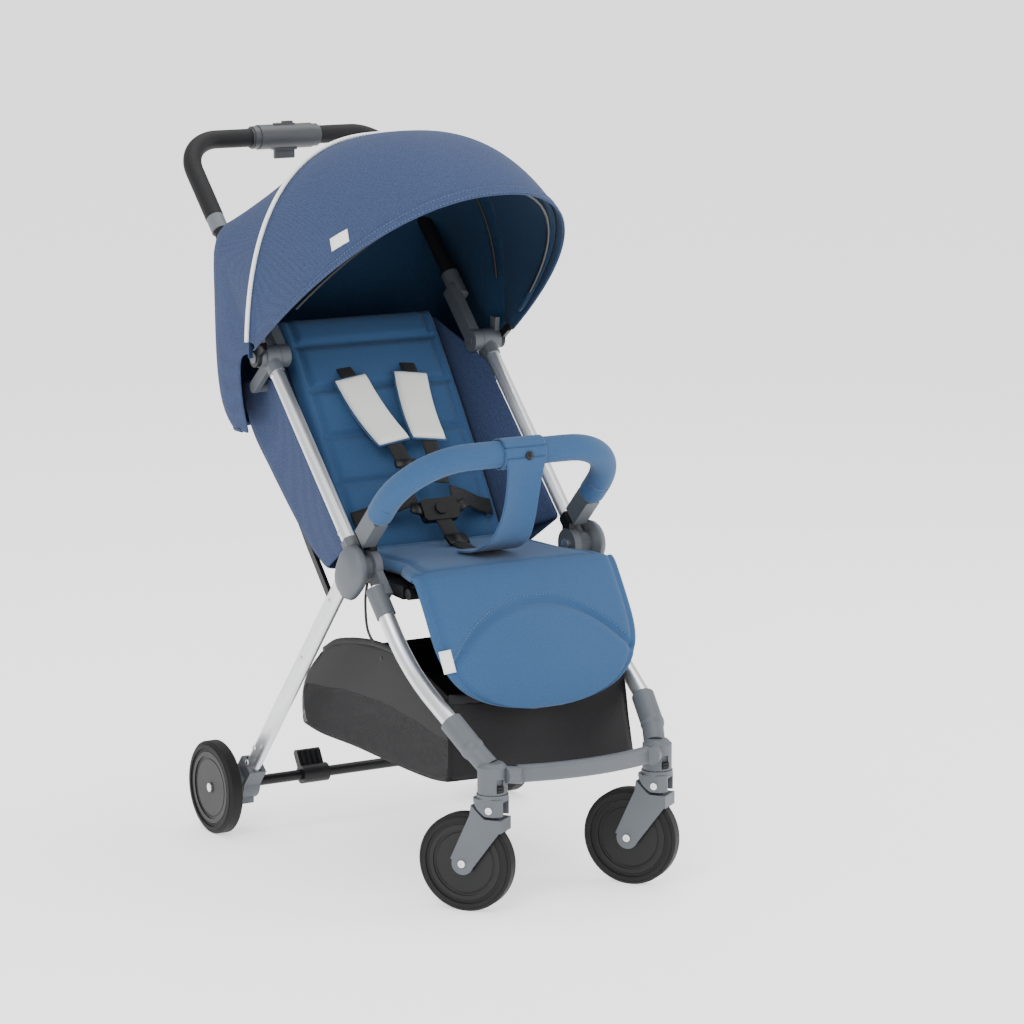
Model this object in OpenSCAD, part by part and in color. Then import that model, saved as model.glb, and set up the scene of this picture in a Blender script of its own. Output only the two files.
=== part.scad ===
// Folding travel stroller. Millimetres, +Z up, the child faces -Y, the origin is on the floor at the
// middle of the overall box. "Right" and "left" are the child's, so right is -X.

/* [Wheels] */
// Diameter of all four wheels
wheel_d = 140; // [136:1:142]
// Width of a tyre
tyre_w = 24; // [22:1:25]
// Overall width over the rear wheels
track_w = 530; // [526:1:540]
// Distance of the rear axle behind the origin
rear_axle_y = 196; // [190:1:200]
// Swivel axis of a front wheel, sideways from the middle
swivel_x = 137; // [134:1:140]
// Swivel axis of a front wheel, in front of the origin
swivel_y = 406; // [400:1:408]
// How far a front wheel trails behind its swivel axis
trail = 38; // [36:1:40]
// Swivel angle of both front wheels
swivel_angle = 35; // [0:5:40]

/* [Frame] */
// Height of the elbow pivot
elbow_z = 448; // [446:1:450]
// Distance of the elbow pivot in front of the origin
elbow_y = 127; // [125:1:129]
// Height of the upper pivot
upper_z = 720; // [718:1:722]
// Distance of the upper pivot behind the origin
upper_y = 138; // [136:1:140]
// Sideways distance of the upper tubes
upper_x = 185; // [184:1:186]
// Diameter of the upper tubes
upper_tube_d = 21; // [20:0.5:21]
// Diameter of the front tubes
front_tube_d = 24; // [23:0.5:24]

/* [Handle] */
// Length of the handle frame from the upper pivot to the middle of the grip
handle_l = 414; // [410:1:416]
// Diameter of the foam grip
grip_d = 28; // [26:1:30]
// Sideways distance of the handle tubes
handle_x = 176; // [175:1:177]

/* [Seat] */
// Half width of the backrest pad
back_half_w = 137; // [130:1:138]
// Length of the backrest pad
back_l = 372; // [350:1:380]
// Slope of the backrest above the horizontal
back_angle = 56.3; // [55:0.1:58]
// Half width of the calf rest
calf_half_w = 168; // [160:1:170]

/* [Canopy] */
// Half width of the canopy at its pivots
canopy_half_w = 214; // [213:1:216]
// Height of the rear bow above its pivot
rear_bow_h = 306; // [300:1:308]
// Reach of the front bow from its pivot
front_bow_h = 435; // [425:1:436]

/* [Hidden] */
$fn = 48;
wheel_r = wheel_d/2;
wheel_x = track_w/2 - tyre_w/2;
elbow = [-elbow_y, elbow_z];
upper = [upper_y, upper_z];
rear_axle = [rear_axle_y, wheel_r];
pin_r = 6;
running = 0.05;
upper_angle = atan2(upper_z - elbow_z, upper_y + elbow_y);
upper_l = norm(upper - elbow);
leg_angle = atan2(wheel_r - elbow_z, rear_axle_y + elbow_y);
leg_l = norm(rear_axle - elbow);
handle_angle = 45.4;
// layers of the elbow, from the middle of the stroller outwards
hub_in = 162;
hub_out = 173.6;
socket_in = 174.2;
socket_out = 196;
cover_in = 196.8;
cover_out = 214;
leg_x = 204;
leg_w = 28;
leg_t = 14;
// seat
seat_top = 455;
seat_rear = -14;
seat_front = -238;
calf_hinge = [-232, 436];
back_foot = [2, 455];
// front tube, in its own upright plane that starts at the elbow
plan_turn = -96.25;
bend_r = 307;
steep = 52.5;
shallow = 30;
bend_start = [75, 364];
bend_mid = bend_start + bend_r*[sin(steep), cos(steep)];
bend_end = bend_mid - bend_r*[sin(shallow), cos(shallow)];
front_r = front_tube_d/2;
front_x = 183;
// bumper bar, in a plane that leans 45 degrees forward
bumper_foot = [-121, 483];
bumper_x = 178;
bumper_bend = 96;
bumper_top = 188;
bumper_r = 20;

// ---- shared shapes ----

// a round bar between two points
module rod(a, b, r) {
    v = b - a;
    translate(a) rotate([0, acos(v.z/norm(v)), atan2(v.y, v.x)]) cylinder(h = norm(v), r = r);
}

// both sides at once
module both() {
    children();
    mirror([1, 0, 0]) children();
}

// a flat shape drawn in Y and Z, as thick as x1 - x0
module plate(x0, x1) {
    translate([x0, 0, 0]) rotate([90, 0, 90]) linear_extrude(x1 - x0) children();
}

// moves a flat shape to a point and turns it
module at(p, turn = 0) {
    translate(p) rotate(turn) children();
}

// a flat slot shape from 0 to l along X
module slot(l, r) {
    circle(r);
    translate([0, -r]) square([l, 2*r]);
    translate([l, 0]) circle(r);
}

// a square with round corners
module pane(w, h, r) {
    translate([r, 0]) square([w - 2*r, h]);
    translate([0, r]) square([w, h - 2*r]);
    for (x = [r, w - r], y = [r, h - r]) translate([x, y]) circle(r);
}

// a tube of many flat sides along a list of points
function frame_at(p, i) = let (n = len(p),
    t = p[min(i + 1, n - 1)] - p[max(i - 1, 0)], u = t/norm(t),
    a = cross(u, [0, 1, 0.02]), s = a/norm(a)) [s, cross(u, s)];
module sweep(p, r, sides = 12) {
    rings = [for (i = [0:len(p) - 1]) let (f = frame_at(p, i))
        [for (k = [0:sides - 1]) p[i] + r*(f[0]*cos(360*k/sides) + f[1]*sin(360*k/sides))]];
    points = [for (ring = rings) each ring];
    skin = [for (i = [0:len(p) - 2], k = [0:sides - 1]) let (j = (k + 1)%sides)
        [(i + 1)*sides + k, (i + 1)*sides + j, i*sides + j, i*sides + k]];
    last = (len(p) - 1)*sides;
    polyhedron(points, concat(skin, [[for (k = [0:sides - 1]) k]],
        [[for (k = [sides - 1:-1:0]) last + k]]), convexity = 6);
}

// a sheet between an outer and an inner grid of points, both of the same size
module sheet(outer, inner) {
    rows = len(outer);
    cols = len(outer[0]);
    n = rows*cols;
    points = concat([for (row = outer) each row], [for (row = inner) each row]);
    top = [for (i = [0:rows - 2], j = [0:cols - 2]) let (a = i*cols + j)
        [a, a + 1, a + cols + 1, a + cols]];
    under = [for (f = top) [n + f[3], n + f[2], n + f[1], n + f[0]]];
    ends = [for (j = [0:cols - 2]) each [[j + 1, j, n + j, n + j + 1],
        let (a = (rows - 1)*cols + j) [a, a + 1, n + a + 1, n + a]]];
    sides = [for (i = [0:rows - 2]) each [let (a = i*cols) [a, a + cols, n + a + cols, n + a],
        let (a = i*cols + cols - 1) [a + cols, a, n + a, n + a + cols]]];
    triangles = [for (f = concat(top, under, ends, sides)) each [[f[2], f[1], f[0]], [f[3], f[2], f[0]]]];
    polyhedron(points, triangles, convexity = 10);
}

// ---- front frame ----

// draws in the upright plane of a front tube: X runs along the plan, Z is up
module tube_plane() {
    translate([front_x, -elbow_y, 0]) rotate([0, 0, plan_turn]) children();
}

// a point of the front tube's plane in the stroller's own frame
function tube_point(u, z) = [front_x + u*cos(plan_turn), -elbow_y + u*sin(plan_turn), z];
function tube_line(u) = bend_start[1] + (bend_start[0] - u)*tan(steep);
function tube_foot(u) = bend_end[1] - (u - bend_end[0])*tan(shallow);

module front_tubes() color("gainsboro") both() {
    rod(tube_point(30, tube_line(30)), tube_point(bend_start[0] + 1, tube_line(bend_start[0] + 1)),
        front_r + 0.02);
    tube_plane() translate([bend_mid[0], 0, bend_mid[1]]) rotate([90, 0, 0])
        rotate_extrude(angle = -(steep - shallow), start = 270 - shallow)
            translate([bend_r, 0]) circle(front_r);
    rod(tube_point(bend_end[0] - 1, tube_foot(bend_end[0] - 1)), tube_point(228, tube_foot(228)),
        front_r + 0.02);
}

// the bow that joins the two front corners
bow_r = 330;
bow_y = -442;
bow_z = 198;
bow_half_angle = 19;
module footrest_bar() color("slategray") difference() {
    bow();
    both() {
        translate([swivel_x, -swivel_y, 150]) cylinder(h = 80, r = 21.1);
        rod([151, -372, 231], [swivel_x + 1, -398, 206], 15.6);
    }
}
module bow() {
    translate([0, bow_y + bow_r, bow_z]) rotate([0, 0, 270 - bow_half_angle])
        rotate_extrude(angle = 2*bow_half_angle, $fn = 96) translate([bow_r - 8, -12])
            pane(16, 24, 5);
    both() intersection() {
        rod([swivel_x - 30, -436, bow_z], [swivel_x + 2, -408, bow_z], 12);
        translate([100, -460, bow_z - 12]) cube([26, 60, 24]);
    }
}

housing_low = 171;
housing_high = 208;
module caster_housings() color("slategray") both() {
    difference() {
        union() {
            rod(tube_point(208, tube_foot(208)), [150, -374, 229], 16.5);
            translate([150, -374, 229]) sphere(17.2);
            rod([151, -372, 231], [swivel_x + 1, -398, 206], 15.4);
            translate([swivel_x, -swivel_y, housing_low])
                cylinder(h = housing_high - housing_low, r = 21);
            translate([swivel_x, -swivel_y, housing_high]) cylinder(h = 6, r1 = 21, r2 = 15);
        }
        translate([swivel_x, -swivel_y, housing_low - 1]) cylinder(h = 31, r = 5 + running);
        translate([swivel_x - 5.4, -swivel_y - 30, housing_low + 3]) cube([10.8, 13, 19]);
        rod(tube_point(200, tube_foot(200)), tube_point(228.2, tube_foot(228.2)), front_r + 0.1);
    }
}

// a small slide in the front of a corner that stops the swivel
module swivel_lock(side) color("dimgray") translate([side*swivel_x, -swivel_y, housing_low + 4]) {
    translate([-5, -22, 0]) cube([10, 4.5, 9]);
    translate([-5, -23.5, 2]) cube([10, 2, 2]);
    translate([-5, -23.5, 6]) cube([10, 2, 2]);
}

// ---- front wheels ----

// moves the parts of one front wheel from their own frame, where the wheel trails towards +Y
module caster(side) {
    translate([side*swivel_x, -swivel_y, 0]) rotate([0, 0, swivel_angle]) children();
}

pivot = [-4, 150];
cheek = 22;
slot_half = 9;
// the turning ring with two cheeks that hold the fork's pivot
module swivel_collar(side) color("slategray") caster(side) {
    translate([0, 0, 162]) cylinder(h = 37, r = 5);
    translate([0, 0, 163]) cylinder(h = 7.4, r = cheek + 0.5);
    translate([0, 0, 169]) cylinder(h = 1.4, r = 12);
    difference() {
        intersection() {
            plate(-cheek, cheek) polygon([[-20, 165], [25, 165], [25, 161], [9, 146], [2, 141],
                [-20, 141]]);
            translate([0, 2, 130]) cylinder(h = 45, r = 25);
        }
        translate([-slot_half, -30, 130]) cube([2*slot_half, 60, 30]);
        plate(-30, 30) at(pivot) circle(3 + running);
    }
}

module suspension_pin(side) color("silver") caster(side) difference() {
    union() {
        plate(-cheek, cheek) at(pivot) circle(3);
        plate(-cheek - 1.6, -cheek) at(pivot) circle(5);
        plate(cheek, cheek + 1.6) at(pivot) circle(5);
    }
    plate(-cheek - 2, -cheek - 0.8) at(pivot) circle(2);
    plate(cheek + 0.8, cheek + 2) at(pivot) circle(2);
}

leg_in = tyre_w/2 + 1.5;
leg_out = leg_in + 5;
axle = [trail, wheel_r];
module fork_outline() difference() {
    union() {
        polygon([[-20, 136], [4, 136], [9, 139.5], [25, 155], [27, 140], [56, 76], [24, 63], [-20, 122]]);
        at(axle) circle(16);
    }
    at(axle) circle(4 + running);
}
module fork(side) color("slategray") caster(side) {
    difference() {
        union() {
            plate(-leg_out, -leg_in) fork_outline();
            plate(leg_in, leg_out) fork_outline();
            plate(-leg_out, leg_out) difference() {
                polygon([[-20, 136], [4, 136], [9, 139.5], [25, 155], [27, 140], [30, 125], [-20, 118]]);
                at(axle) circle(wheel_r + 4);
            }
            plate(-slot_half + 0.5, slot_half - 0.5) {
                at(pivot) circle(9);
                at([pivot[0] - 9, 134]) square([18, 16]);
            }
        }
        plate(-30, 30) at(pivot) circle(3 + running);
    }
}

module tyre_shape() {
    difference() {
        union() {
            translate([wheel_r - 16, -tyre_w/2 + 2]) square([9, tyre_w - 4]);
            translate([wheel_r - 9, 0]) intersection() {
                circle(tyre_w/2);
                translate([-2, -20]) square([11, 40]);
            }
        }
        for (s = [-1, 1]) translate([wheel_r - 4.5, s*tyre_w*0.46]) circle(0.8, $fn = 16);
    }
}
module tyre() color([0.13, 0.13, 0.13]) rotate([0, 90, 0]) rotate_extrude($fn = 96) tyre_shape();

disc_r = wheel_r - 16.3;
module disc(bore) color([0.17, 0.17, 0.17]) rotate([0, 90, 0]) difference() {
    rotate_extrude($fn = 96) difference() {
        union() {
            translate([0, -9]) square([disc_r - 3, 18]);
            translate([disc_r - 6, -10.4]) square([6, 20.8]);
            translate([0, 2.4 - tyre_w/2]) square([9, tyre_w - 4.8]);
        }
        for (s = [-1, 1]) translate([disc_r - 10, s*9.4]) circle(1.2, $fn = 16);
    }
    translate([0, 0, -30]) cylinder(h = 60, r = bore + running);
}

module front_wheel(side) caster(side) translate([0, axle[0], axle[1]]) children();
module front_tyre(side) front_wheel(side) tyre();
module front_disc(side) front_wheel(side) disc(4);
module front_bolt(side) color("silver") front_wheel(side) rotate([0, 90, 0]) difference() {
    union() {
        translate([0, 0, -leg_out]) cylinder(h = 2*leg_out, r = 4);
        for (s = [-1, 1]) translate([0, 0, s*(leg_out + 1.5) - 1.5]) cylinder(h = 3, r = 5.2);
    }
    for (s = [-1, 1]) translate([0, 0, s*(leg_out + 3) - 1.5]) cylinder(h = 3, r = 2.2);
}

// ---- elbow ----

module elbow_hubs() color("slategray") both() difference() {
    union() {
        plate(hub_in, hub_out) at(elbow) circle(24);
        plate(hub_in, hub_out) at(elbow, -136) translate([0, -14]) square([58, 28]);
        rod(tube_point(31, tube_line(31)), tube_point(58, tube_line(58)), 14.5);
    }
    plate(hub_in - 1, hub_out + 1) at(elbow) circle(pin_r + running);
    rod(tube_point(29.8, tube_line(29.8)), tube_point(70, tube_line(70)), front_r + 0.1);
}

module elbow_pins() color("silver") both() {
    plate(hub_in - 3, cover_out - 5) at(elbow) circle(pin_r);
    plate(hub_in - 4.5, hub_in - 0.4) at(elbow) circle(9);
}

mount_l = 22;
module bumper_mounts() color([0.25, 0.26, 0.27]) both() difference() {
    bumper_mount();
    plate(hub_in - 1, hub_out + 1) at(elbow) circle(24.1);
}
module bumper_mount() {
    plate(hub_in, hub_out) at([elbow[0] - 7, elbow[1] + 20]) square([19, 13]);
    plate(hub_in, hub_out) at(bumper_foot, 135) translate([-9, -11]) square([17, 22]);
    plate(hub_in, 190) at(bumper_foot, 135) translate([2, -11]) square([6, 22]);
    plate(bumper_x - 6, bumper_x + 6) at(bumper_foot, 135) translate([8, -8]) square([mount_l, 16]);
}

// ---- seat ----

module seat_frame() color([0.12, 0.12, 0.12]) {
    both() {
        plate(142, 150) polygon([[-222, 418], [-150, 412], [-30, 418], [-20, 428], [-20, 432],
            [-222, 432]]);
        plate(150.2, hub_in - 0.4) polygon([[-205, 412], [-112, 418], [-112, 431], [-205, 431]]);
    }
    plate(-142, 142) polygon([[-222, 426], [-20, 426], [-20, 432], [-222, 432]]);
    rod([-160, -216, 421], [160, -216, 421], 8);
}

module seat_pad() color("steelblue") {
    translate([-143, -190, 433]) linear_extrude(seat_top - 433)
        translate([0, 0]) pane(286, 190 + seat_rear, 8);
    translate([-calf_half_w, seat_front, 433]) linear_extrude(seat_top - 433)
        pane(2*calf_half_w, 47.8, 8);
}

// ---- basket ----

basket_w = 150;
wall = 2.4;
module basket_side(i) polygon([[-318 + i, 168 + i], [-270, 163 + i], [40, 176 + i], [98 - i, 192 + i],
    [104 - i, 232], [40, 300], [-60, 326], [-120, 330], [-200, 322 - i/2], [-303 + i, 284]]);
module basket() color([0.1, 0.1, 0.11]) difference() {
    plate(-basket_w, basket_w) basket_side(0);
    plate(-basket_w + wall, basket_w - wall) union() {
        intersection() {
            basket_side(wall);
            translate([-400, 160]) square([600, 300]);
        }
        polygon([[-300, 278], [-280, 283], [-200, 300], [-60, 310], [40, 290], [100, 230], [106, 340],
            [-340, 340]]);
    }
}

// ---- rear legs ----

// draws along a rear leg: X runs down the leg from the elbow
module along_leg(x0, x1) plate(x0, x1) at(elbow, leg_angle) children();

module rear_legs() color("gainsboro") both() {
    translate([leg_x, elbow[0], elbow[1]]) rotate([leg_angle + 90, 0, 0]) translate([0, 0, -leg_l + 30])
        linear_extrude(leg_l - 62) {
            translate([0, -(leg_w - leg_t)/2]) circle(leg_t/2);
            translate([0, (leg_w - leg_t)/2]) circle(leg_t/2);
            translate([-leg_t/2, -(leg_w - leg_t)/2]) square([leg_t, leg_w - leg_t]);
        }
}

module elbow_covers() color("slategray") both() difference() {
    union() {
        plate(cover_in, cover_out - 4) at(elbow) circle(28);
        plate(cover_out - 4.01, cover_out) at(elbow) circle(22);
        along_leg(cover_in, cover_out - 3) translate([0, -19]) square([52, 38]);
        along_leg(cover_out - 3.01, cover_out) translate([0, -12]) square([46, 24]);
    }
    plate(cover_in - 1, cover_out - 4.5) at(elbow) circle(pin_r + running);
    translate([leg_x, elbow[0], elbow[1]]) rotate([leg_angle + 90, 0, 0])
        translate([0, 0, -leg_l + 29]) linear_extrude(leg_l - 60)
            translate([-leg_t/2 - 0.1, -leg_w/2 - 0.1]) square([leg_t + 0.2, leg_w + 0.2]);
}

module axle_housings() color("slategray") both() difference() {
    union() {
        plate(190, 218) at(rear_axle) circle(23);
        plate(190, 218) at(rear_axle, leg_angle + 180) translate([0, -17]) square([46, 34]);
        plate(194, 216) at([rear_axle[0] - 10, rear_axle[1] - 30]) square([26, 14]);
        plate(218, 234) at([rear_axle[0], rear_axle[1] + 4]) circle(17);
        plate(218, 234) at(rear_axle, leg_angle + 180) translate([0, -12]) square([26, 24]);
    }
    translate([leg_x, elbow[0], elbow[1]]) rotate([leg_angle + 90, 0, 0])
        translate([0, 0, -leg_l + 29]) linear_extrude(leg_l - 60)
            translate([-leg_t/2 - 0.1, -leg_w/2 - 0.1]) square([leg_t + 0.2, leg_w + 0.2]);
    plate(200, 240) at(rear_axle) circle(4 + running);
    plate(180, 199) at(rear_axle) circle(8 + running);
}

module rear_axle_tube() color([0.1, 0.1, 0.1])
    plate(-198, 198) at(rear_axle) circle(8);

module rear_axle_pins() color("silver") both() {
    plate(201, track_w/2 - 3) at(rear_axle) circle(4);
    plate(track_w/2 - 2.3, track_w/2 - 0.4) at(rear_axle) circle(6.5);
}

pedal_x = -86;
module brake_pedal() color([0.15, 0.15, 0.15]) difference() {
    union() {
        plate(pedal_x - 22, pedal_x + 22) at(rear_axle) circle(14);
        plate(pedal_x - 20, pedal_x + 20) at(rear_axle, 60) {
            translate([4, -9]) square([30, 12]);
            translate([34, -3]) circle(6);
        }
        for (i = [-1.5:1:1.5]) plate(pedal_x + i*9 - 1.5, pedal_x + i*9 + 1.5)
            at(rear_axle, 60) translate([14, 2]) square([22, 3]);
    }
    plate(pedal_x - 30, pedal_x + 30) at(rear_axle) circle(8 + 0.08);
}

module rear_wheel(side) translate([side*wheel_x, rear_axle[0], rear_axle[1]]) children();
module rear_tyre(side) rear_wheel(side) tyre();
module rear_disc(side) rear_wheel(side) disc(4);

// ---- upper frame ----

// draws along an upper tube: X runs up the tube from the elbow
module along_upper(x0, x1) plate(x0, x1) at(elbow, upper_angle) children();
function on_upper(d, off = 0) = [elbow[0] + d*cos(upper_angle) - off*sin(upper_angle),
    elbow[1] + d*sin(upper_angle) + off*cos(upper_angle)];
function at_x(x, p) = [x, p[0], p[1]];

module upper_tubes() color("gainsboro") both()
    rod(at_x(upper_x, on_upper(34)), at_x(upper_x, on_upper(upper_l - 14)), upper_tube_d/2);

module upper_sockets() color("slategray") both() difference() {
    intersection() {
        union() {
            plate(socket_in, socket_out) at(elbow) circle(16.5);
            rod(at_x(upper_x, on_upper(8)), at_x(upper_x, on_upper(48)), 13);
        }
        plate(socket_in, socket_out) translate([-300, 300]) square([400, 400]);
    }
    plate(socket_in - 1, socket_out + 1) at(elbow) circle(pin_r + running);
    rod(at_x(upper_x, on_upper(33)), at_x(upper_x, on_upper(60)), upper_tube_d/2 + 0.1);
}

joint_in = 174.2;
joint_out = 196.6;
module upper_joints() color("slategray") both() difference() {
    union() {
        plate(joint_in, joint_out) at(upper) circle(17);
        intersection() {
            rod(at_x(upper_x, on_upper(upper_l - 30)), at_x(upper_x, on_upper(upper_l - 5)), 12.5);
            plate(joint_in, joint_out) translate([0, 600]) square([300, 200]);
        }
        along_upper(joint_in, upper_x) translate([upper_l - 66, -15]) square([60, 15]);
        // arm that holds the side stay
        plate(joint_in, joint_in + 8) at(upper, stay_turn) slot(stay_arm, 9);
        plate(stay_out + 0.6, joint_in + 1) at(stay_top) circle(8.4);
        plate(stay_in - 1.4, joint_in) at(stay_top) circle(3);
        plate(stay_in - 1.6, stay_in - 0.4) at(stay_top) circle(6);
    }
    plate(joint_in - 1, joint_out + 1) at(upper) circle(pin_r + running);
    rod(at_x(upper_x, on_upper(upper_l - 70)), at_x(upper_x, on_upper(upper_l - 13)),
        upper_tube_d/2 + 0.1);
}

stay_in = 151;
stay_out = 157.4;
stay_turn = -41;
stay_arm = 80;
stay_top = upper + stay_arm*[cos(stay_turn), sin(stay_turn)];
stay_path = [stay_top, [189, 641], [182, 582], [132, 512], [78, 446], [22, 384]];
module side_stays() color([0.14, 0.14, 0.14]) both() difference() {
    plate(stay_in, stay_out) {
        for (i = [0:len(stay_path) - 2]) let (v = stay_path[i + 1] - stay_path[i])
            at(stay_path[i], atan2(v[1], v[0])) slot(norm(v), 5.5);
        at(stay_top) circle(9);
    }
    plate(stay_in - 1, stay_out + 1) at(stay_top) circle(3 + running);
}

module side_wings() color([0.12, 0.17, 0.3]) both() plate(147, 149.4)
    polygon([[-96, 462], on_upper(330, -16), [226, 772], [18, 462]]);

// ---- handle ----

// draws along the handle: X is sideways, Y runs from the upper pivot to the grip, Z is off the front
module handle_plane() translate([0, upper_y, upper_z]) rotate([handle_angle, 0, 0]) children();
module along_handle(x0, x1) plate(x0, x1) at(upper, handle_angle) children();
function on_handle(d, off = 0) = [upper_y + d*cos(handle_angle) - off*sin(handle_angle),
    upper_z + d*sin(handle_angle) + off*cos(handle_angle)];
corner_r = 60;
grip_start = 264;
module handle_path(r, start) {
    both() rod([handle_x, start, 0], [handle_x, handle_l - corner_r, 0], r);
    both() translate([handle_x - corner_r, handle_l - corner_r, 0])
        rotate_extrude(angle = 90) translate([corner_r, 0]) circle(r);
    rod([corner_r - handle_x, handle_l, 0], [handle_x - corner_r, handle_l, 0], r);
}
module handle_bar() color([0.12, 0.12, 0.12]) handle_plane() {
    both() rod([handle_x, 92, 0], [handle_x, grip_start + 2, 0], 11);
    handle_path(grip_d/2, grip_start);
}
module handle_collars() color("gray") handle_plane() both() difference() {
    rod([handle_x, 238, 0], [handle_x, grip_start - 0.2, 0], 13.5);
    rod([handle_x, 237, 0], [handle_x, grip_start + 1, 0], 11.05);
}
socket_x0 = 158;
socket_x1 = 173.6;
module handle_sockets() color("slategray") both() difference() {
    union() {
        plate(socket_x0, socket_x1) at(upper) circle(17);
        along_handle(socket_x0, socket_x1) translate([0, -12]) square([100, 24]);
        handle_plane() rod([handle_x, 84, 0], [handle_x, 128, 0], 13.5);
    }
    plate(socket_x0 - 1, socket_x1 + 1) at(upper) circle(pin_r + 0.02);
    handle_plane() rod([handle_x, 91.5, 0], [handle_x, 140, 0], 11.05);
}
module handle_module() color([0.3, 0.31, 0.33]) handle_plane() difference() {
    union() {
        rod([-56, handle_l, 0], [56, handle_l, 0], 17.5);
        rod([-46, handle_l, 0], [46, handle_l, 0], 19);
        rod([-59, handle_l, 0], [59, handle_l, 0], 15.5);
    }
    rod([-70, handle_l, 0], [70, handle_l, 0], grip_d/2 + 0.1);
    translate([0, handle_l, 0]) rotate([-handle_angle, 0, 0]) {
        translate([-20, -9, -30]) cube([40, 18, 15.4]);
        translate([-21, -7, 12]) cube([38, 14, 20]);
    }
}
// moves to the middle of the grip with Z straight up
module at_grip() translate([0, on_handle(handle_l)[0], on_handle(handle_l)[1]]) children();
module handle_trigger() color([0.33, 0.34, 0.36]) at_grip() {
    translate([-19, -8, -20.5]) cube([38, 16, 3]);
    translate([-17, -4, -31]) cube([34, 6, 11]);
    rotate([0, 90, 0]) translate([31, -1, -17]) cylinder(h = 34, r = 3);
}
module handle_button() color([0.4, 0.41, 0.43]) at_grip() {
    translate([-16, -6, 14.4]) cube([32, 12, 6]);
    translate([-2, -4, 20.3]) cube([16, 8, 3]);
}

// ---- canopy ----

clamp_x0 = 197.2;
clamp_x1 = 205;
front_clamp_x0 = 205.6;
front_clamp_x1 = 212;
rear_bow_angle = 93;
front_bow_angle = 143.5;
function around(angle, r) = [upper_y + r*cos(angle), upper_z + r*sin(angle)];
// a point of the canopy: s runs from 0 to 180 across, power rounds the shoulders
function canopy_point(s, angle, half, r, power) = let (
    p = around(angle, r*pow(sin(s), power)), c = cos(s))
    [half*(c < 0 ? -1 : 1)*pow(abs(c), power), p[0], p[1]];
function mix(a, b, t) = a + (b - a)*t;
bow_steps = 40;

module canopy_clamps() color("gray") both() {
    plate(clamp_x0, clamp_x1) difference() {
        union() {
            at(upper) circle(15);
            at(upper, rear_bow_angle) translate([0, -7]) square([34, 14]);
        }
        at(upper) circle(5);
    }
    plate(socket_x0 - 2, clamp_x1 + 0.2) at(upper) circle(pin_r);
    plate(clamp_x1, front_clamp_x1 + 0.6) at(upper) circle(4);
    plate(front_clamp_x1 + 0.4, front_clamp_x1 + 2) at(upper) circle(8);
}
module canopy_rear_bow() color([0.1, 0.1, 0.1]) sweep([for (i = [3:bow_steps - 3])
    canopy_point(180*i/bow_steps, rear_bow_angle, canopy_half_w - 8, rear_bow_h - 8, 0.8)], 2.5, 8);
module canopy_front_bow() color([0.1, 0.1, 0.1]) {
    sweep([for (i = [4:bow_steps - 4])
        canopy_point(180*i/bow_steps, front_bow_angle - 2, canopy_half_w - 6, front_bow_h - 12, 0.98)],
        2.5, 8);
    both() plate(front_clamp_x0, front_clamp_x1) difference() {
        union() {
            at(upper) circle(14);
            at(upper, front_bow_angle) translate([0, -6]) square([34, 12]);
        }
        at(upper) circle(4 + running);
    }
}
// the grids of the two canopy covers, drawn inwards by an inset
front_rows = 8;
// rows of the rear cover: where its sides end, how far back and up it reaches, half width, roundness
rear_rows = [[upper, around(93, 306), 213, 0.78], [upper, around(66, 277), 207, 0.6],
    [upper, [309, 897], 202, 0.5], [[165, 722], [309, 820], 200, 0.32],
    [[200, 712], [308, 705], 198, 0.3], [[204, 655], [298, 622], 195, 0.34],
    [[188, 600], [276, 600], 192, 0.38]];
function rear_point(s, row, inset) = let (c = cos(s), q = pow(sin(s), row[3]),
    far = row[1] - inset*(row[1] - row[0])/norm(row[1] - row[0]), p = mix(row[0], far, q))
    [(row[2] - inset)*(c < 0 ? -1 : 1)*pow(abs(c), row[3]), p[0], p[1]];
function front_grid(inset) = [for (i = [0:front_rows]) let (t = i/front_rows)
    [for (j = [1:bow_steps - 1]) canopy_point(180*j/bow_steps,
        mix(rear_bow_angle + 1.5, front_bow_angle, t), canopy_half_w + 3 - inset,
        mix(rear_bow_h + 2, front_bow_h, t) - inset, mix(0.8, 0.98, t))]];
function rear_grid(inset) = [for (row = rear_rows)
    [for (j = [2:bow_steps - 2]) rear_point(180*j/bow_steps, row, inset)]];
module canopy_front_panel() color([0.24, 0.32, 0.49]) sheet(front_grid(0), front_grid(2.5));
module canopy_rear_panel() color([0.24, 0.32, 0.49]) difference() {
    sheet(rear_grid(2.5), rear_grid(0));
    handle_plane() both() rod([handle_x, 100, 0], [handle_x, grip_start + 4, 0], 15);
}

// ---- backrest ----

// draws along the backrest: X runs up its front face, Y is in front of it
module along_back(x0, x1) plate(x0, x1) at(back_foot, back_angle) children();
module back_plane() translate([0, back_foot[0], back_foot[1]]) rotate([back_angle, 0, 0]) children();

module backrest_pad() color("steelblue") back_plane() translate([-back_half_w, 6, -22])
    linear_extrude(21.5) pane(2*back_half_w, back_l - 6, 18);
module backrest_board() color([0.12, 0.17, 0.3]) back_plane() translate([-back_half_w - 3, 4, -27])
    linear_extrude(4.8) pane(2*back_half_w + 6, back_l + 2, 20);
module harness_straps() color([0.08, 0.08, 0.08]) back_plane() both()
    translate([47, 70, 0.3]) cube([25, 216, 2]);
module shoulder_pads() color("whitesmoke") back_plane() both()
    translate([36, 128, 2.8]) linear_extrude(13) pane(46, 138, 8);

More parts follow.
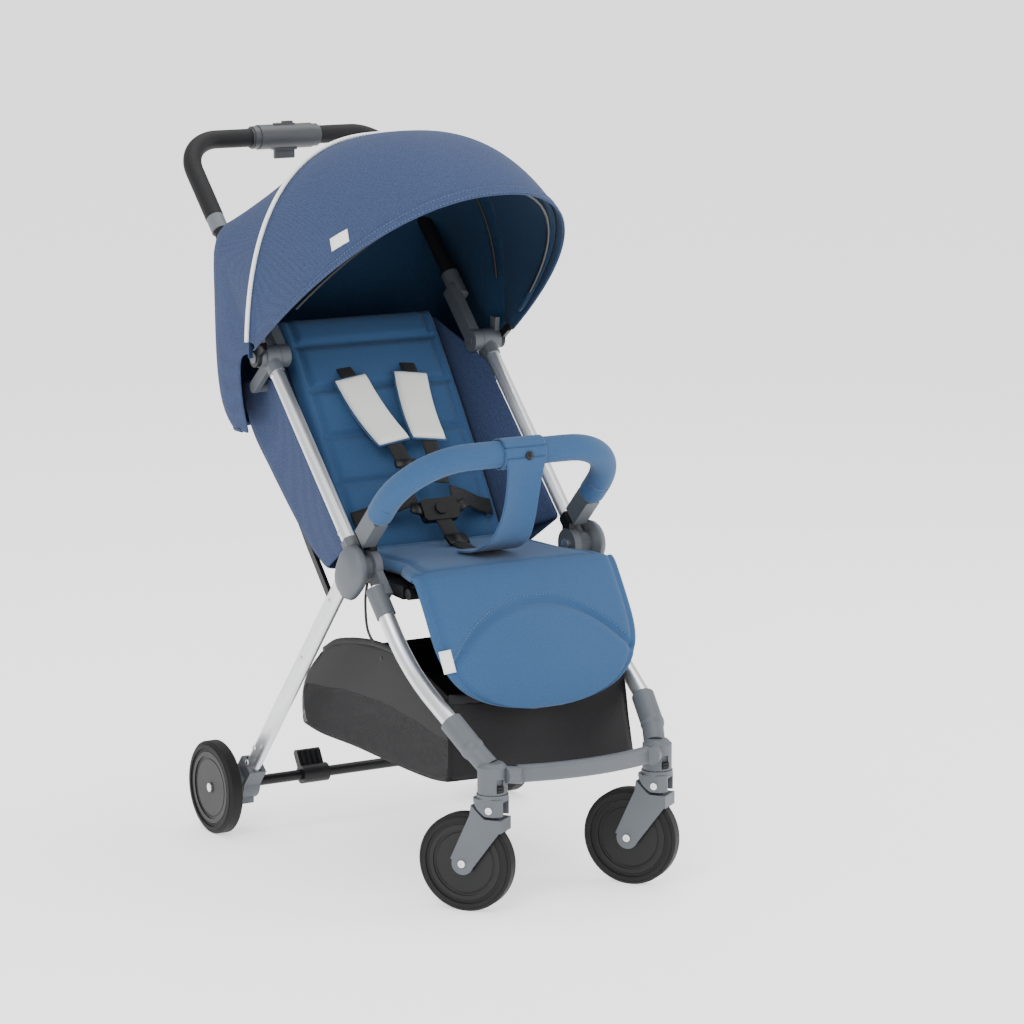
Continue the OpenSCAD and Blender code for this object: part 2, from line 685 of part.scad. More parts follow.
buckle_foot = [-62, seat_top + 0.4];
module crotch_strap() color([0.08, 0.08, 0.08]) plate(-12, 12)
    polygon([buckle_foot, buckle_foot + [3, 0], buckle_foot + [20, 26], buckle_foot + [17, 26]]);
module at_buckle() translate([0, buckle_foot[0] + 20, buckle_foot[1] + 30.2]) rotate([56, 0, 0])
    children();
module buckle() color([0.1, 0.1, 0.1]) at_buckle() difference() {
    translate([-30, 0, -5]) linear_extrude(13) pane(60, 34, 7);
    translate([0, 17, 3]) cylinder(h = 20, r = 9.4);
}
module buckle_button() color([0.2, 0.2, 0.2]) at_buckle() translate([0, 17, 6]) cylinder(h = 5, r = 9);

// ---- calf rest ----

module calf_rest() color("steelblue") intersection() {
    plate(-calf_half_w, calf_half_w) polygon([[-245, 434], [-254, 431], [-290, 382], [-322, 335],
        [-334, 290], [-336, 256], [-314, 256], [-312, 290], [-300, 326], [-268, 370], [-234, 414],
        [-243, 424]]);
    translate([0, -200, 0]) rotate([90, 0, 0]) linear_extrude(200) {
        translate([0, 446]) scale([1, 1]) circle(190, $fn = 96);
        translate([-calf_half_w, 350]) square([2*calf_half_w, 100]);
    }
}

// ---- bumper bar ----

// draws in the leaning plane of the bumper bar: X sideways, Y up the plane
module bumper_plane() translate([0, bumper_foot[0], bumper_foot[1]]) rotate([135, 0, 0]) children();
pad_start = 60;
module bumper_bar() color("steelblue") bumper_plane() {
    both() rod([bumper_x, pad_start, 0], [bumper_x, bumper_top - bumper_bend, 0], bumper_r);
    both() translate([bumper_x - bumper_bend, bumper_top - bumper_bend, 0])
        rotate_extrude(angle = 90) translate([bumper_bend, 0]) circle(bumper_r);
    rod([bumper_bend - bumper_x, bumper_top, 0], [bumper_x - bumper_bend, bumper_top, 0], bumper_r);
}
module bumper_ends() color("gray") bumper_plane() both() difference() {
    translate([bumper_x - 11, 9, -15]) cube([22, pad_start - 9, 30]);
    translate([bumper_x - 6.4, 8, -8.4]) cube([12.8, mount_l + 2, 16.8]);
}
module bumper_strap() color("steelblue") plate(-34, 34) {
    at(bumper_foot, 135) translate([bumper_top, 0]) difference() {
        circle(bumper_r + 3);
        circle(bumper_r + 0.5);
    }
    polygon([[-260.5, 595.8], [-256, 594.8], [-249, 540], [-226, 494], [-190, 467], [-141, 459],
        [-141, 456], [-192, 463], [-229, 490], [-253, 538]]);
}

front_tubes();
footrest_bar();
caster_housings();
elbow_hubs();
elbow_pins();
bumper_mounts();
seat_frame();
seat_pad();
basket();
crotch_strap();
buckle();
buckle_button();
swivel_lock(-1);  // swivel_lock_right
swivel_lock(1);  // swivel_lock_left
swivel_collar(-1);  // swivel_collar_right
swivel_collar(1);  // swivel_collar_left
suspension_pin(-1);  // suspension_pin_right
suspension_pin(1);  // suspension_pin_left
fork(-1);  // fork_right
fork(1);  // fork_left
front_tyre(-1);  // front_tyre_right
front_tyre(1);  // front_tyre_left
front_disc(-1);  // front_disc_right
front_disc(1);  // front_disc_left
front_bolt(-1);  // front_bolt_right
front_bolt(1);  // front_bolt_left
rear_legs();
elbow_covers();
axle_housings();
rear_axle_tube();
rear_axle_pins();
brake_pedal();
rear_tyre(-1);  // rear_tyre_right
rear_tyre(1);  // rear_tyre_left
rear_disc(-1);  // rear_disc_right
rear_disc(1);  // rear_disc_left
upper_tubes();
upper_sockets();
upper_joints();
side_stays();
side_wings();
handle_bar();
handle_collars();
handle_sockets();
handle_module();
handle_trigger();
handle_button();
canopy_clamps();
canopy_rear_bow();
canopy_rear_panel();
canopy_front_bow();
canopy_front_panel();
backrest_board();
backrest_pad();
shoulder_pads();
harness_straps();
calf_rest();
bumper_bar();
bumper_ends();
bumper_strap();
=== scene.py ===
import bpy
from math import sin, cos, pi, radians
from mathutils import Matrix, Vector


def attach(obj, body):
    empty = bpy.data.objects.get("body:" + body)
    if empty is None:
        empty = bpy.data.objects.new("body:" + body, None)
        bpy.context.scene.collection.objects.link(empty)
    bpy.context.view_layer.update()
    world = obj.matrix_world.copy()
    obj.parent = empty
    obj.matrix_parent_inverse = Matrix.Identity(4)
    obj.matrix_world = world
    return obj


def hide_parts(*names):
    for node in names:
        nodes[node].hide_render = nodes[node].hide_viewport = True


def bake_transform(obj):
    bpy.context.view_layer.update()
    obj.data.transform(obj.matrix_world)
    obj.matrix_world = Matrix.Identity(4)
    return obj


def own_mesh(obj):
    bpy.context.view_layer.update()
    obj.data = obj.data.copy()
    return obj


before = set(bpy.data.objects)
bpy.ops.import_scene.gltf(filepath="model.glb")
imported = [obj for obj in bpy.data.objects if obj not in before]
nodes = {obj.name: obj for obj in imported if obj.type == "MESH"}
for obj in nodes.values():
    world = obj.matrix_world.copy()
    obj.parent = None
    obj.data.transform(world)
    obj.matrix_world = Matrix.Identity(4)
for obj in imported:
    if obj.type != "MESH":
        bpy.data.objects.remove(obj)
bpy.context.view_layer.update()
print("frame loaded:", len(nodes), "nodes")

# main lines of the stroller in side view, metres (y, z)
lines = {
    "elbow": (-0.127, 0.448),
    "upper": (0.138, 0.720),
    "tubeAngle": radians(45.75),
    "handleAngle": radians(45.4),
    "backFoot": (0.002, 0.455),
    "backAngle": radians(56.3),
    "legAngle": radians(-49.5),
}


# materials

def newMaterial(name, color, rough, metallic=0.0):
    mat = bpy.data.materials.new(name)
    mat.use_nodes = True
    shader = mat.node_tree.nodes["Principled BSDF"]
    shader.inputs["Base Color"].default_value = (*color, 1)
    shader.inputs["Roughness"].default_value = rough
    shader.inputs["Metallic"].default_value = metallic
    return mat, mat.node_tree, shader


def addNode(tree, kind, **values):
    node = tree.nodes.new(kind)
    for key, value in values.items():
        if key in node.inputs:
            node.inputs[key].default_value = value
        else:
            setattr(node, key, value)
    return node


def tintRamp(tree, source, color, low, high):
    # turns a 0..1 value into a darker and a lighter shade of one colour
    ramp = addNode(tree, "ShaderNodeValToRGB")
    ramp.color_ramp.elements[0].color = (*[c * low for c in color], 1)
    ramp.color_ramp.elements[1].color = (*[min(1, c * high) for c in color], 1)
    tree.links.new(source, ramp.inputs[0])
    return ramp


def fabric(name, color, weave=900, heather=0.25, rough=0.9, sheen=0.25, bump=0.3, fine=620,
           weaveShare=0.12):
    # woven cloth: two crossed thread waves, a heathered tint and soft wear
    mat, tree, shader = newMaterial(name, color, rough)
    shader.inputs["Sheen Weight"].default_value = sheen
    shader.inputs["Sheen Roughness"].default_value = 0.5
    shader.inputs["Specular IOR Level"].default_value = 0.2
    coord = addNode(tree, "ShaderNodeTexCoord")
    warp = addNode(tree, "ShaderNodeTexWave", wave_type="BANDS", bands_direction="X", Scale=weave / 6,
                   Distortion=1.2, Detail=1.0)
    weft = addNode(tree, "ShaderNodeTexWave", wave_type="BANDS", bands_direction="Z", Scale=weave / 6,
                   Distortion=1.2, Detail=1.0)
    melange = addNode(tree, "ShaderNodeTexNoise", Scale=fine, Detail=2.0, Roughness=0.7)
    patches = addNode(tree, "ShaderNodeTexNoise", Scale=9.0, Detail=3.0)
    for node in (warp, weft, melange, patches):
        tree.links.new(coord.outputs["Object"], node.inputs["Vector"])
    threads = addNode(tree, "ShaderNodeMath", operation="MULTIPLY")
    tree.links.new(warp.outputs["Fac"], threads.inputs[0])
    tree.links.new(weft.outputs["Fac"], threads.inputs[1])
    mixed = addNode(tree, "ShaderNodeMath", operation="MULTIPLY_ADD")
    mixed.inputs[1].default_value = weaveShare
    tree.links.new(threads.outputs[0], mixed.inputs[0])
    tree.links.new(melange.outputs["Fac"], mixed.inputs[2])
    ramp = tintRamp(tree, mixed.outputs[0], color, 1 - heather, 1 + heather)
    ramp.color_ramp.elements[0].position = 0.35
    ramp.color_ramp.elements[1].position = 0.85
    worn = addNode(tree, "ShaderNodeMix", data_type="RGBA", blend_type="MULTIPLY")
    worn.inputs[0].default_value = 0.35
    shade = tintRamp(tree, patches.outputs["Fac"], (1, 1, 1), 0.72, 1.0)
    tree.links.new(ramp.outputs[0], worn.inputs[6])
    tree.links.new(shade.outputs[0], worn.inputs[7])
    tree.links.new(worn.outputs[2], shader.inputs["Base Color"])
    relief = addNode(tree, "ShaderNodeBump", Strength=bump, Distance=0.0006)
    tree.links.new(mixed.outputs[0], relief.inputs["Height"])
    tree.links.new(relief.outputs[0], shader.inputs["Normal"])
    return mat


def webbing(name, color):
    # narrow woven tape with close cross ribs
    mat, tree, shader = newMaterial(name, color, 0.75)
    coord = addNode(tree, "ShaderNodeTexCoord")
    ribs = addNode(tree, "ShaderNodeTexWave", wave_type="BANDS", bands_direction="DIAGONAL", Scale=260.0,
                   Distortion=0.6)
    tree.links.new(coord.outputs["Object"], ribs.inputs["Vector"])
    ramp = tintRamp(tree, ribs.outputs["Fac"], color, 0.6, 1.7)
    tree.links.new(ramp.outputs[0], shader.inputs["Base Color"])
    relief = addNode(tree, "ShaderNodeBump", Strength=0.5, Distance=0.0005)
    tree.links.new(ribs.outputs["Fac"], relief.inputs["Height"])
    tree.links.new(relief.outputs[0], shader.inputs["Normal"])
    return mat


def plastic(name, color, rough=0.45, grain=900, depth=0.12, spread=0.12):
    # moulded plastic: fine pitted grain, slightly uneven gloss and tint
    mat, tree, shader = newMaterial(name, color, rough)
    shader.inputs["Specular IOR Level"].default_value = 0.28 if max(color) < 0.02 else 0.45
    coord = addNode(tree, "ShaderNodeTexCoord")
    pits = addNode(tree, "ShaderNodeTexNoise", Scale=grain, Detail=2.0)
    cloud = addNode(tree, "ShaderNodeTexNoise", Scale=22.0, Detail=4.0)
    for node in (pits, cloud):
        tree.links.new(coord.outputs["Object"], node.inputs["Vector"])
    ramp = tintRamp(tree, cloud.outputs["Fac"], color, 1 - spread, 1 + spread)
    tree.links.new(ramp.outputs[0], shader.inputs["Base Color"])
    gloss = addNode(tree, "ShaderNodeMapRange")
    gloss.inputs[3].default_value = rough - 0.07
    gloss.inputs[4].default_value = rough + 0.1
    tree.links.new(cloud.outputs["Fac"], gloss.inputs[0])
    tree.links.new(gloss.outputs[0], shader.inputs["Roughness"])
    relief = addNode(tree, "ShaderNodeBump", Strength=depth, Distance=0.0004)
    tree.links.new(pits.outputs["Fac"], relief.inputs["Height"])
    tree.links.new(relief.outputs[0], shader.inputs["Normal"])
    return mat


def anodised(name, color, rough=0.32, stretch=(1, 0.04, 0.04)):
    # satin silver tube: long faint drawing lines
    mat, tree, shader = newMaterial(name, color, rough, 0.9)
    coord = addNode(tree, "ShaderNodeTexCoord")
    mapping = addNode(tree, "ShaderNodeMapping")
    mapping.inputs["Scale"].default_value = stretch
    drawn = addNode(tree, "ShaderNodeTexNoise", Scale=900.0, Detail=3.0)
    cloud = addNode(tree, "ShaderNodeTexNoise", Scale=14.0, Detail=3.0)
    tree.links.new(coord.outputs["Object"], mapping.inputs["Vector"])
    tree.links.new(mapping.outputs[0], drawn.inputs["Vector"])
    tree.links.new(coord.outputs["Object"], cloud.inputs["Vector"])
    gloss = addNode(tree, "ShaderNodeMapRange")
    gloss.inputs[3].default_value = rough - 0.06
    gloss.inputs[4].default_value = rough + 0.12
    tree.links.new(cloud.outputs["Fac"], gloss.inputs[0])
    tree.links.new(gloss.outputs[0], shader.inputs["Roughness"])
    ramp = tintRamp(tree, drawn.outputs["Fac"], color, 0.93, 1.04)
    tree.links.new(ramp.outputs[0], shader.inputs["Base Color"])
    relief = addNode(tree, "ShaderNodeBump", Strength=0.06, Distance=0.0003)
    tree.links.new(drawn.outputs["Fac"], relief.inputs["Height"])
    tree.links.new(relief.outputs[0], shader.inputs["Normal"])
    return mat


def netting(name, color):
    # open knitted net of the basket's lower half
    mat, tree, shader = newMaterial(name, color, 0.8)
    coord = addNode(tree, "ShaderNodeTexCoord")
    cells = addNode(tree, "ShaderNodeTexVoronoi", Scale=420.0, feature="DISTANCE_TO_EDGE")
    tree.links.new(coord.outputs["Object"], cells.inputs["Vector"])
    step = addNode(tree, "ShaderNodeMapRange")
    step.inputs[1].default_value = 0.05
    step.inputs[2].default_value = 0.2
    step.inputs[3].default_value = 1.0
    step.inputs[4].default_value = 0.45
    tree.links.new(cells.outputs["Distance"], step.inputs[0])
    tree.links.new(step.outputs[0], shader.inputs["Alpha"])
    ramp = tintRamp(tree, cells.outputs["Distance"], color, 1.5, 0.6)
    tree.links.new(ramp.outputs[0], shader.inputs["Base Color"])
    return mat


mats = {
    "canopy": fabric("canopyWeave", (0.044, 0.066, 0.142), heather=0.4, sheen=0.03),
    "lining": fabric("canopyLining", (0.010, 0.034, 0.078), heather=0.25, sheen=0.05),
    "seat": fabric("seatWeave", (0.034, 0.088, 0.195), heather=0.14, sheen=0.12),
    "binding": fabric("seatBinding", (0.03, 0.08, 0.18), heather=0.12),
    "thread": fabric("seatThread", (0.06, 0.13, 0.25), heather=0.1),
    "piping": fabric("whitePiping", (0.95, 0.95, 0.93), heather=0.04, sheen=0.2),
    "label": fabric("blankLabel", (0.9, 0.9, 0.88), heather=0.03),
    "shoulder": fabric("shoulderPadCloth", (0.86, 0.86, 0.82), heather=0.05, sheen=0.3),
    "nylon": fabric("basketNylon", (0.011, 0.0105, 0.012), heather=0.3, rough=0.55, sheen=0.05),
    "net": netting("basketNet", (0.01, 0.01, 0.011)),
    "tape": webbing("blackWebbing", (0.006, 0.006, 0.007)),
    "silver": anodised("satinSilver", (0.74, 0.75, 0.77)),
    "grey": plastic("slatePlastic", (0.088, 0.098, 0.112), 0.5),
    "greyLight": plastic("collarPlastic", (0.12, 0.13, 0.145), 0.5),
    "black": plastic("blackPlastic", (0.008, 0.008, 0.009), 0.42),
    "module": plastic("handleModulePlastic", (0.05, 0.054, 0.06), 0.4),
    "foam": plastic("gripFoam", (0.008, 0.008, 0.009), 0.6, grain=1500, depth=0.4),
    "tyre": plastic("tyreRubber", (0.006, 0.006, 0.006), 0.6, grain=600, depth=0.2),
    "disc": plastic("wheelDiscPlastic", (0.007, 0.007, 0.0075), 0.36),
    "steel": anodised("brightSteel", (0.72, 0.72, 0.72), 0.2),
    "blackMetal": plastic("blackEnamel", (0.006, 0.006, 0.007), 0.35, depth=0.05),
}
cadLooks = {
    "silver": ["front_tubes", "rear_legs", "upper_tubes"],
    "grey": ["footrest_bar", "caster_housings", "elbow_hubs", "swivel_collar_right", "swivel_collar_left",
             "fork_right", "fork_left", "elbow_covers", "axle_housings", "upper_sockets", "upper_joints",
             "handle_sockets", "canopy_clamps", "bumper_ends"],
    "greyLight": ["handle_collars"],
    "black": ["bumper_mounts", "buckle", "buckle_button", "swivel_lock_right", "swivel_lock_left",
              "brake_pedal"],
    "module": ["handle_module", "handle_trigger", "handle_button"],
    "foam": ["handle_bar"],
    "tyre": ["front_tyre_right", "front_tyre_left", "rear_tyre_right", "rear_tyre_left"],
    "disc": ["front_disc_right", "front_disc_left", "rear_disc_right", "rear_disc_left"],
    "steel": ["elbow_pins", "suspension_pin_right", "suspension_pin_left", "front_bolt_right",
              "front_bolt_left", "rear_axle_pins"],
    "blackMetal": ["rear_axle_tube", "side_stays", "seat_frame", "canopy_rear_bow", "canopy_front_bow"],
}
for look, names in cadLooks.items():
    for name in names:
        part = nodes[name]
        part.data.materials.clear()
        part.data.materials.append(mats[look])
        if look in ("grey", "greyLight", "black", "module", "disc"):  # moulded edges are never sharp
            edge = part.modifiers.new("softEdges", "BEVEL")
            edge.width = 0.0009
            edge.segments = 2
            edge.limit_method = "ANGLE"
            edge.angle_limit = radians(38)
            edge.harden_normals = True
print("materials ready")


# helpers that make meshes

def makeObject(name, verts, faces, materials, faceMaterial=None):
    mesh = bpy.data.meshes.new(name)
    mesh.from_pydata([tuple(v) for v in verts], [], faces)
    for mat in materials:
        mesh.materials.append(mat)
    for poly in mesh.polygons:
        poly.use_smooth = True
        if faceMaterial:
            poly.material_index = faceMaterial[poly.index]
    mesh.validate()
    obj = bpy.data.objects.new(name, mesh)
    bpy.context.scene.collection.objects.link(obj)
    return obj


def smoothOut(obj, level):
    smooth = obj.modifiers.new("smooth", "SUBSURF")
    smooth.levels = level
    smooth.render_levels = level


def handOf(side):
    return "Right" if side < 0 else "Left"


def signedPower(c, power):
    return abs(c) ** power * (1 if c > 0 else -1)


def bell(distance, width):
    # 1 on the line of a sewn groove, falling to nothing a width or two away
    return pow(2.7, -(distance / width) ** 2)


clothCuts = {}  # the rows each sheet is made from, measured again at the end


def clothSheet(name, rows, materials, thickness=0.0016, level=1, bandMaterial=None):
    # a sheet through rows of points; its back takes the last material
    clothCuts[name] = rows
    count = len(rows[0])
    verts = [p for row in rows for p in row]
    faces, marks = [], []
    for i in range(len(rows) - 1):
        for j in range(count - 1):
            a, b = i * count + j, (i + 1) * count + j
            faces.append((a, a + 1, b + 1, b))
            marks.append(bandMaterial(i, j) if bandMaterial else 0)
    obj = makeObject(name, verts, faces, materials, marks)
    if level:
        smoothOut(obj, level)
    thick = obj.modifiers.new("cloth", "SOLIDIFY")
    thick.thickness = thickness
    thick.offset = 0
    thick.material_offset = len(materials) - 1
    thick.material_offset_rim = 0
    return obj


def sideOf(path, i, up):
    ahead = Vector(path[min(i + 1, len(path) - 1)]) - Vector(path[max(i - 1, 0)])
    ahead.normalize()
    across = ahead.cross(up)
    if across.length < 1e-5:
        across = ahead.cross(Vector((0, 1, 0.1)))
    across.normalize()
    return across, across.cross(ahead)


def sweep(name, path, half, material, up=(0, 0, 1), sides=12, power=2.0, scale=None, level=0):
    # a closed bar along a path; half is (half width, half height) of its section
    up = Vector(up)
    verts, faces = [], []
    for i, p in enumerate(path):
        across, over = sideOf(path, i, up)
        grow = scale(i / (len(path) - 1)) if scale else 1
        for k in range(sides):
            c, s = cos(2 * pi * k / sides), sin(2 * pi * k / sides)
            c = signedPower(c, 2 / power)
            s = signedPower(s, 2 / power)
            verts.append(Vector(p) + across * half[0] * c * grow + over * half[1] * s * grow)
    for i in range(len(path) - 1):
        for k in range(sides):
            n = (k + 1) % sides
            faces.append((i * sides + k, i * sides + n, (i + 1) * sides + n, (i + 1) * sides + k))
    faces.append(tuple(range(sides))[::-1])
    faces.append(tuple((len(path) - 1) * sides + k for k in range(sides)))
    obj = makeObject(name, verts, faces, [material])
    if level:
        smoothOut(obj, level)
    return obj


def pad(name, place, material, thick, nu=40, nv=40, corner=6.0, width=None, groove=None, crown=0.25,
        back=0.35):
    # a stuffed pad: place(u, v, h) puts it; u is -1..1, v is 0..1, h is the height off its middle sheet
    verts, faces = [], []
    for side in (1, -1):
        for i in range(nv + 1):
            v = i / nv
            for j in range(nu + 1):
                u = 2 * j / nu - 1
                edgeU = max(0, 1 - abs(u) ** corner)
                edgeV = max(0, 1 - abs(2 * v - 1) ** (corner * 1.3))
                full = (edgeU * edgeV) ** 0.42
                swell = 1 + crown * (1 - u * u) * (1 - (2 * v - 1) ** 2)
                h = thick * full * swell * (1 if side > 0 else -back)
                if side > 0 and groove:
                    h -= groove(u, v) * full
                w = width(v) if width else 1
                verts.append(place(u * w, v, h))
    count = nu + 1
    half = (nv + 1) * count
    for side in (0, 1):
        for i in range(nv):
            for j in range(nu):
                a = side * half + i * count + j
                quad = (a, a + 1, a + count + 1, a + count)
                faces.append(quad if side == 0 else quad[::-1])
    rim = [j for j in range(count)] + [i * count + nu for i in range(1, nv + 1)]
    rim += [nv * count + j for j in range(nu - 1, -1, -1)] + [i * count for i in range(nv - 1, 0, -1)]
    for k, a in enumerate(rim):
        b = rim[(k + 1) % len(rim)]
        faces.append((b, a, half + a, half + b))
    return makeObject(name, verts, faces, [material])


def stitches(name, path, normals, material, long=0.0032, gap=0.0022, wide=0.0009):
    # a row of raised thread dashes along a path
    verts, faces = [], []
    run = 0.0
    for i in range(len(path) - 1):
        a, b = Vector(path[i]), Vector(path[i + 1])
        length = (b - a).length
        if length < 1e-6:
            continue
        ahead = (b - a) / length
        up = Vector(normals[i]).normalized()
        across = ahead.cross(up).normalized()
        while run < length:
            p = a + ahead * run
            base = len(verts)
            for s, w, h in ((0, 0, 0), (0.25, 1, 0.5), (0.75, 1, 0.5), (1, 0, 0)):
                verts += [p + ahead * s * long - across * wide * (w * 0.5 + 0.1),
                          p + ahead * s * long + across * wide * (w * 0.5 + 0.1),
                          p + ahead * s * long + up * (wide * (0.25 + 0.8 * h))]
            for q in range(3):
                c = base + q * 3
                faces += [(c, c + 3, c + 5, c + 2), (c + 1, c + 2, c + 5, c + 4), (c, c + 1, c + 4, c + 3)]
            faces += [(base, base + 2, base + 1), (base + 9, base + 10, base + 11)]
            run += long + gap
        run -= length
    return makeObject(name, verts, faces, [material])


def dome(name, center, normal, radius, height, material, rings=5, sides=20):
    # a low round head, with a small dimple in the middle
    normal = Vector(normal).normalized()
    across = normal.orthogonal().normalized()
    other = normal.cross(across)
    verts, faces = [], []
    profile = [(radius, -0.0004)] + [(radius * cos(a), height * sin(a) ** 0.8)
               for a in [pi / 2 * k / rings for k in range(rings)]]
    profile += [(radius * 0.3, height * 0.98), (radius * 0.26, height * 0.6)]
    for r, h in profile:
        for k in range(sides):
            c, s = cos(2 * pi * k / sides), sin(2 * pi * k / sides)
            verts.append(Vector(center) + (across * c + other * s) * r + normal * h)
    for i in range(len(profile) - 1):
        for k in range(sides):
            n = (k + 1) % sides
            faces.append((i * sides + k, i * sides + n, (i + 1) * sides + n, (i + 1) * sides + k))
    faces.append(tuple(range((len(profile) - 1) * sides, len(profile) * sides)))
    faces.append(tuple(range(sides))[::-1])
    return makeObject(name, verts, faces, [material])


def around(angle, r):
    return lines["upper"][0] + r * cos(angle), lines["upper"][1] + r * sin(angle)


def onBack(x, v, h):
    a = lines["backAngle"]
    y, z = lines["backFoot"]
    return Vector((x, y + v * cos(a) - h * sin(a), z + v * sin(a) + h * cos(a)))


def onTube(x, d, off=0.0):
    a = lines["tubeAngle"]
    y, z = lines["elbow"]
    return Vector((x, y + d * cos(a) - off * sin(a), z + d * sin(a) + off * cos(a)))


def mix(a, b, t):
    return a + (b - a) * t


def curveThrough(points, steps=8):
    # smooth points along a list of control points
    pts = [Vector(p) for p in points]
    pts = [2 * pts[0] - pts[1]] + pts + [2 * pts[-1] - pts[-2]]
    out = []
    for i in range(1, len(pts) - 2):
        for k in range(steps):
            t = k / steps
            a, b, c, d = pts[i - 1:i + 3]
            out.append(0.5 * (2 * b + (c - a) * t + (2 * a - 5 * b + 4 * c - d) * t * t
                              + (3 * b - a - 3 * c + d) * t ** 3))
    out.append(pts[-2])
    return out


# canopy

canopy = {
    "pipingAngle": 93.0,
    "hemAngle": 143.5,
    "pipingReach": 0.3175,
    "hemReach": 0.433,
    "halfWidth": 0.221,
    "pipingRound": 0.78,
    "hemRound": 0.9,
    "pipeRadius": 0.0033,
}


def bowPoint(s, angle, half, reach, power):
    y, z = around(radians(angle), reach * sin(s) ** power)
    return Vector((half * signedPower(cos(s), power), y, z))


def frontPoint(s, t, lift=0.0):
    c = canopy
    sag = 0.006 * sin(pi * t) * sin(s) ** 2
    reach = mix(c["pipingReach"], c["hemReach"], t) - sag + lift
    half = c["halfWidth"] + lift - 0.004 * sin(pi * t)
    return bowPoint(s, mix(c["pipingAngle"], c["hemAngle"], t), half, reach,
                    mix(c["pipingRound"], c["hemRound"], t))


# the rear cover's rows: where the sides end, how far back it reaches, half width and roundness
joint = lines["upper"]
rearFan = [
    (joint, (0.122, 1.0375), 0.221, 0.78), (joint, (0.180, 0.988), 0.214, 0.6),
    (joint, (0.235, 0.949), 0.208, 0.43), (joint, (0.280, 0.917), 0.204, 0.29),
    (joint, (0.311, 0.899), 0.202, 0.2), ((0.148, 0.722), (0.315, 0.862), 0.202, 0.22),
    ((0.165, 0.722), (0.313, 0.815), 0.202, 0.25), ((0.185, 0.720), (0.311, 0.765), 0.202, 0.27),
    ((0.200, 0.712), (0.310, 0.710), 0.201, 0.28), ((0.206, 0.690), (0.308, 0.660), 0.199, 0.3),
    ((0.205, 0.655), (0.300, 0.626), 0.197, 0.32), ((0.198, 0.622), (0.288, 0.608), 0.195, 0.35),
    ((0.190, 0.600), (0.276, 0.602), 0.193, 0.38)]


def rearPoint(s, row):
    end, far, half, power = rearFan[row]
    q = sin(s) ** power
    fold = (0.003 * sin(row * 1.7 + 6 * s) + 0.004 * sin(9 * s + row * 0.4)) * min(1, row / 7) * sin(s)
    grow = 1 + fold / 0.2
    return Vector((half * signedPower(cos(s), power), end[0] + (far[0] - end[0]) * q * grow,
                   end[1] + (far[1] - end[1]) * q * grow))


bowSteps = [pi * (0.012 + 0.976 * j / 60) for j in range(61)]
frontRows = [[frontPoint(s, t / 14) for s in bowSteps] for t in range(15)]
rearSteps = [pi * (1 - cos(pi * k / 72)) / 2 for k in range(73)]
rearRows = [[rearPoint(s, row) for s in rearSteps] for row in range(len(rearFan))]
frontCover = clothSheet("canopyFrontCover", frontRows, [mats["canopy"], mats["lining"]])
rearCover = clothSheet("canopyRearCover", rearRows, [mats["canopy"], mats["lining"]])


def faceOutwards(piece):
    # the outer face has to be the first material
    hub = Vector((0, *joint))
    if sum((p.center - hub).dot(p.normal) for p in piece.data.polygons) < 0:
        piece.data.flip_normals()


faceOutwards(frontCover)
faceOutwards(rearCover)
pipeRow = [frontPoint(s, 0, 0.0035) for s in bowSteps]
piping = sweep("canopyPiping", pipeRow, (canopy["pipeRadius"],) * 2, mats["piping"], up=(0, 1, 0.2), sides=10)
hemRows = [[frontPoint(s, t, 0.0016) for s in bowSteps] for t in (0.955, 0.97, 0.985, 1.003)]
hemBand = clothSheet("canopyHemBand", hemRows, [mats["canopy"], mats["lining"]], thickness=0.002)
faceOutwards(hemBand)
hemThread = [stitches("canopyHemStitch" + str(k), [frontPoint(s, t, 0.0028) for s in bowSteps[3:-3]],
                      [frontPoint(s, t, 0.02) - frontPoint(s, t, 0.0) for s in bowSteps[3:-3]],
                      mats["thread"]) for k, t in enumerate((0.962, 0.995))]
pipeThread = [stitches("canopyPipeStitch" + str(k), [frontPoint(s, t, 0.0014) for s in bowSteps[3:-3]],
                       [frontPoint(s, t, 0.02) - frontPoint(s, t, 0.0) for s in bowSteps[3:-3]],
                       mats["thread"]) for k, t in enumerate((0.03, 0.05))]
innerChannel = clothSheet("canopyBowChannel", [[frontPoint(s, t, -0.004 - 0.004 * sin(pi * k / 4))
                          for s in bowSteps[2:-2]] for k, t in enumerate((0.86, 0.88, 0.9, 0.92, 0.94))],
                          [mats["lining"], mats["lining"]])
rearHem = sweep("canopyRearHem", [rearPoint(s, len(rearFan) - 1) for s in bowSteps], (0.0035, 0.0016),
                mats["canopy"], up=(0, 1, 0), sides=8)


canopyTagAt = (2.507, 0.797, 2.349, 0.847)  # corner and direction of the canopy's label


def blankTag(name, corner, along, down, normal, width, height, material):
    # a small folded cloth label with nothing on it
    rows = []
    for i in range(5):
        rows.append([Vector(corner) + Vector(along) * width * j / 6 + Vector(down) * height * i / 4
                     + Vector(normal) * (0.0022 + 0.0006 * sin(pi * j / 6)) for j in range(7)])
    return clothSheet(name, rows, [material, material], thickness=0.0012, level=0)


